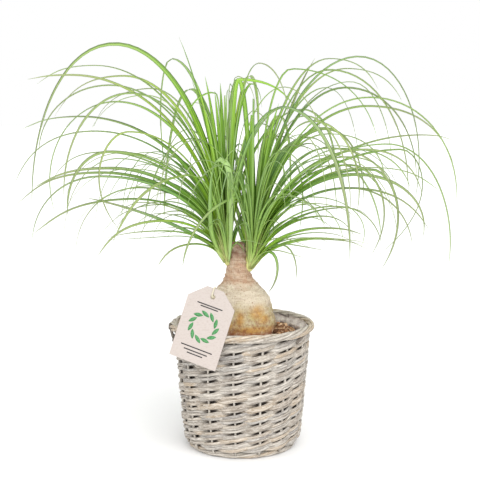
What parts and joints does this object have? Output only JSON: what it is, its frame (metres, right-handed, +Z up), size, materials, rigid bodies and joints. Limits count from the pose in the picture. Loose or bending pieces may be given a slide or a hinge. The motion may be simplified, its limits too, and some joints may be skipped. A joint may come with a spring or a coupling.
{
  "type": "potted ponytail palm",
  "caption": "Ponytail palm with a swollen trunk and arching strap leaves, standing in soil in a round woven willow basket with a card tag.",
  "frame": {"origin": "centre of the basket's flat underside, on the surface that it stands on", "axes": "+Z up, +X to the right of a viewer who sees the tag in front, +Y away from that viewer"},
  "size_m": [0.4443, 0.3318, 0.404],
  "materials": {
    "willow": "grey-washed peeled willow, matte",
    "film": "thin pale lining film",
    "soil": "crumbly brown potting soil",
    "bark": "ringed, finely cracked corky bark",
    "leaf": "green strap leaves, satin",
    "card": "uncoated pale card",
    "cotton": "twisted cream cotton"
  },
  "bodies": {
    "root": {"basket_base": "willow", "basket_foot": "willow", "basket_wall": "willow", "basket_rim": "willow", "liner": "film", "soil": "soil", "trunk": "bark", "crown_left": "leaf", "crown_right": "leaf", "tag": "card", "tag_cord": "cotton"}
  },
  "joints": []
}
